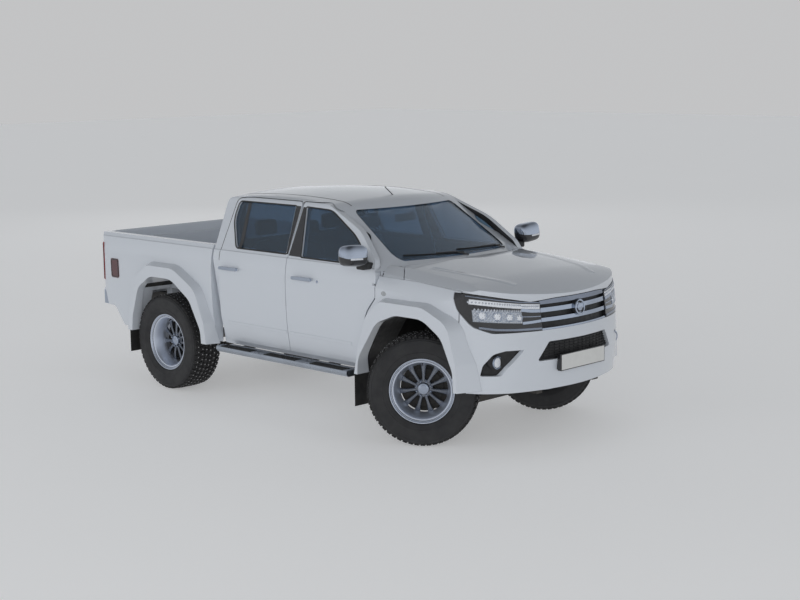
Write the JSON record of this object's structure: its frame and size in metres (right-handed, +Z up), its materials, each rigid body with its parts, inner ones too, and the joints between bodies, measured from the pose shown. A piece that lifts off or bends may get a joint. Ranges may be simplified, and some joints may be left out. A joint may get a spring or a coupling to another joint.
{
  "type": "pickup truck",
  "caption": "Lifted double-cab pickup truck with open bed, wide arch flares, studded mud tyres on deep-dish rims, chrome mirrors, side steps and step bumper.",
  "frame": {"origin": "on the ground under the middle of the vehicle's overall box", "axes": "+X forward, +Y to the vehicle's left, +Z up"},
  "size_m": [5.24, 2.36, 1.9032],
  "materials": {
    "white_paint": "gloss",
    "frame_black": "satin",
    "cast_metal": "matte",
    "exhaust_steel": "dull",
    "radiator_metal": "matte",
    "black_plastic": "matte",
    "cabin_plastic": "matte",
    "step_black": "satin",
    "window_glass": "polished",
    "lamp_glass": "polished",
    "lamp_red": "gloss",
    "dark_chrome": "polished",
    "bright_chrome": "polished",
    "rim_alloy": "satin",
    "tyre_rubber": "matte",
    "flap_rubber": "matte",
    "seat_cloth": "matte"
  },
  "bodies": {
    "chassis": {"chassis_frame": "frame_black", "engine": "cast_metal", "drivetrain": "cast_metal", "exhaust": "exhaust_steel", "fuel_tank": "black_plastic", "radiator": "radiator_metal", "rear_axle": "frame_black", "front_suspension": "frame_black", "cab_shell": "white_paint", "cab_glass": "window_glass", "cowl": "black_plastic", "front_wings": "white_paint", "front_bumper": "white_paint", "grille": "dark_chrome", "front_lamps": "lamp_glass", "arch_liners": "black_plastic", "arch_flares": "white_paint", "bed": "white_paint", "rear_bumper": "bright_chrome", "tail_lamps": "lamp_red", "mud_flaps": "flap_rubber", "side_steps": "step_black", "front_seats": "seat_cloth", "rear_seat": "seat_cloth", "dashboard": "cabin_plastic", "antenna": "black_plastic"},
    "bonnet": {"bonnet": "white_paint"},
    "tailgate": {"tailgate": "white_paint"},
    "steering_wheel": {"steering_wheel": "cabin_plastic"},
    "tie_rods": {"tie_rods": "frame_black"},
    "front_door_right": {"door_front_right": "white_paint", "glass_front_right": "window_glass", "mirror_right": "bright_chrome"},
    "front_wheel_right": {"tyre_front_right": "tyre_rubber", "rim_front_right": "rim_alloy"},
    "rear_door_right": {"door_rear_right": "white_paint", "glass_rear_right": "window_glass"},
    "rear_wheel_right": {"tyre_rear_right": "tyre_rubber", "rim_rear_right": "rim_alloy"},
    "knuckle_right": {"knuckle_right": "cast_metal"},
    "front_door_left": {"door_front_left": "white_paint", "glass_front_left": "window_glass", "mirror_left": "bright_chrome"},
    "front_wheel_left": {"tyre_front_left": "tyre_rubber", "rim_front_left": "rim_alloy"},
    "rear_door_left": {"door_rear_left": "white_paint", "glass_rear_left": "window_glass"},
    "rear_wheel_left": {"tyre_rear_left": "tyre_rubber", "rim_rear_left": "rim_alloy"},
    "knuckle_left": {"knuckle_left": "cast_metal"}
  },
  "joints": [
    {"name": "front_door_right", "type": "hinge", "parent": "chassis", "child": "front_door_right", "pos_m": [1.255, -0.919, 0.9], "axis": [0, 0, 1], "range_deg": [0, 65]},
    {"name": "rear_door_right", "type": "hinge", "parent": "chassis", "child": "rear_door_right", "pos_m": [0.185, -0.919, 0.9], "axis": [0, 0, 1], "range_deg": [0, 65]},
    {"name": "front_door_left", "type": "hinge", "parent": "chassis", "child": "front_door_left", "pos_m": [1.255, 0.919, 0.9], "axis": [0, 0, 1], "range_deg": [-65, 0]},
    {"name": "rear_door_left", "type": "hinge", "parent": "chassis", "child": "rear_door_left", "pos_m": [0.185, 0.919, 0.9], "axis": [0, 0, 1], "range_deg": [-65, 0]},
    {"name": "steer_right", "type": "hinge", "parent": "chassis", "child": "knuckle_right", "pos_m": [1.63, -0.735, 0.44], "axis": [0, 0, 1], "range_deg": [-72, 0]},
    {"name": "front_wheel_right", "type": "hinge", "parent": "knuckle_right", "child": "front_wheel_right", "pos_m": [1.66879, -0.78839, 0.44], "axis": [-0.5878, 0.809, 0], "continuous": true},
    {"name": "rear_wheel_right", "type": "hinge", "parent": "chassis", "child": "rear_wheel_right", "pos_m": [-1.455, -0.801, 0.44], "axis": [0, 1, 0], "continuous": true},
    {"name": "steer_left", "type": "hinge", "parent": "chassis", "child": "knuckle_left", "pos_m": [1.63, 0.735, 0.44], "axis": [0, 0, 1], "range_deg": [-72, 0]},
    {"name": "front_wheel_left", "type": "hinge", "parent": "knuckle_left", "child": "front_wheel_left", "pos_m": [1.59121, 0.78839, 0.44], "axis": [-0.5878, 0.809, 0], "continuous": true},
    {"name": "rear_wheel_left", "type": "hinge", "parent": "chassis", "child": "rear_wheel_left", "pos_m": [-1.455, 0.801, 0.44], "axis": [0, 1, 0], "continuous": true},
    {"name": "tie_rod_slide", "type": "slide", "parent": "chassis", "child": "tie_rods", "axis": [0, 1, 0], "range_m": [0, 0.14]},
    {"name": "steering_wheel_turn", "type": "hinge", "parent": "chassis", "child": "steering_wheel", "pos_m": [0.64, 0.37, 1.13], "axis": [-0.9063, 0, 0.4226], "range_deg": [-1152, 0]},
    {"name": "bonnet_hinge", "type": "hinge", "parent": "chassis", "child": "bonnet", "pos_m": [1.33, 0, 1.29], "axis": [0, -1, 0], "range_deg": [0, 50]},
    {"name": "tailgate_hinge", "type": "hinge", "parent": "chassis", "child": "tailgate", "pos_m": [-2.471, 0, 0.905], "axis": [0, -1, 0], "range_deg": [0, 90]}
  ],
  "couplings": [
    {"joint": "steer_left", "follows": "steer_right", "ratio": 1},
    {"joint": "tie_rod_slide", "follows": "steer_right", "m_per_rad": -0.1076},
    {"joint": "steering_wheel_turn", "follows": "steer_right", "ratio": 16}
  ]
}
